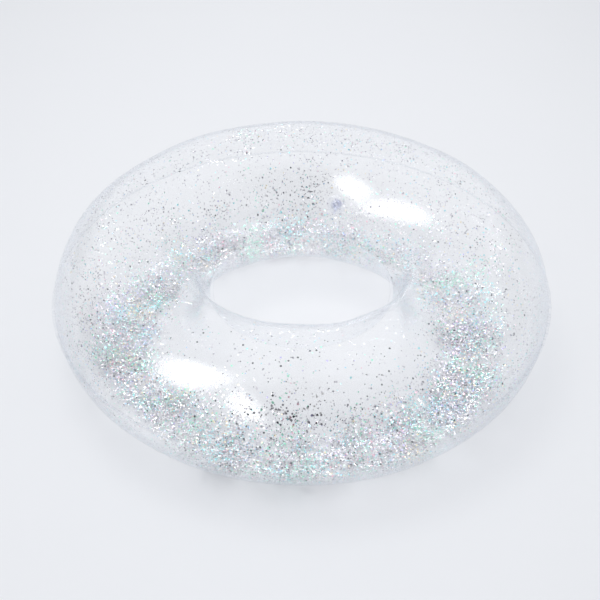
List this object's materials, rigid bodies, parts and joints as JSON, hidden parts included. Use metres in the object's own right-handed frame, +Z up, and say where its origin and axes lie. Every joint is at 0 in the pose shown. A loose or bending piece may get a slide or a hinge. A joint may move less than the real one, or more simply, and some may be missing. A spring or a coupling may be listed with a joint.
{
  "type": "inflatable swim ring",
  "caption": "Clear inflatable swim ring with loose reflective glitter inside the tube and a push-in inflation valve beside the hole.",
  "frame": {"origin": "on the ground, on the axis of the hole", "axes": "+Z up along the axis of the hole; the valve stands 19.8 degrees from +Y towards +X; a viewer who looks along +Y sees the valve on the far side"},
  "size_m": [0.8287, 0.8288, 0.2446],
  "materials": {
    "clear_vinyl": "clear, smooth, faint blue-violet at its edges",
    "welded_vinyl": "clear, puckered weld",
    "valve_vinyl": "soft clear moulding, faint violet",
    "flap_vinyl": "thin clear flap",
    "plug_vinyl": "soft moulding, violet tint",
    "silver_foil": "mirror-like holographic foil flakes",
    "iridescent_foil": "iridescent foil flakes, aqua to pink"
  },
  "bodies": {
    "ring": {"upper_film": "clear_vinyl", "lower_film": "clear_vinyl", "outer_weld_seam": "welded_vinyl", "inner_weld_seam": "welded_vinyl", "valve_base": "valve_vinyl", "valve_web": "valve_vinyl", "clinging_glitter_large": "silver_foil", "clinging_glitter_small": "iridescent_foil"},
    "stem": {"valve_stem": "valve_vinyl", "plug_tether": "plug_vinyl"},
    "plug": {"valve_plug": "plug_vinyl"},
    "flap": {"check_flap": "flap_vinyl"},
    "glitter": {"loose_glitter_large": "silver_foil", "loose_glitter_small": "iridescent_foil"}
  },
  "joints": [
    {"name": "stem_pull", "type": "slide", "parent": "ring", "child": "stem", "axis": [-0.3057, -0.8492, 0.4305], "range_m": [0, 0.0125], "deforming": ["valve_web"]},
    {"name": "plug_pull", "type": "slide", "parent": "stem", "child": "plug", "axis": [-0.3057, -0.8492, 0.4305], "range_m": [0, 0.016], "deforming": ["plug_tether"]},
    {"name": "flap_open", "type": "hinge", "parent": "stem", "child": "flap", "pos_m": [0.06471, 0.17975, 0.17298], "axis": [0.9409, -0.3387, 0], "range_deg": [0, 50]},
    {"name": "glitter_drift", "type": "hinge", "parent": "ring", "child": "glitter", "pos_m": [0, 0, 0], "axis": [0, 0, 1], "continuous": true}
  ]
}
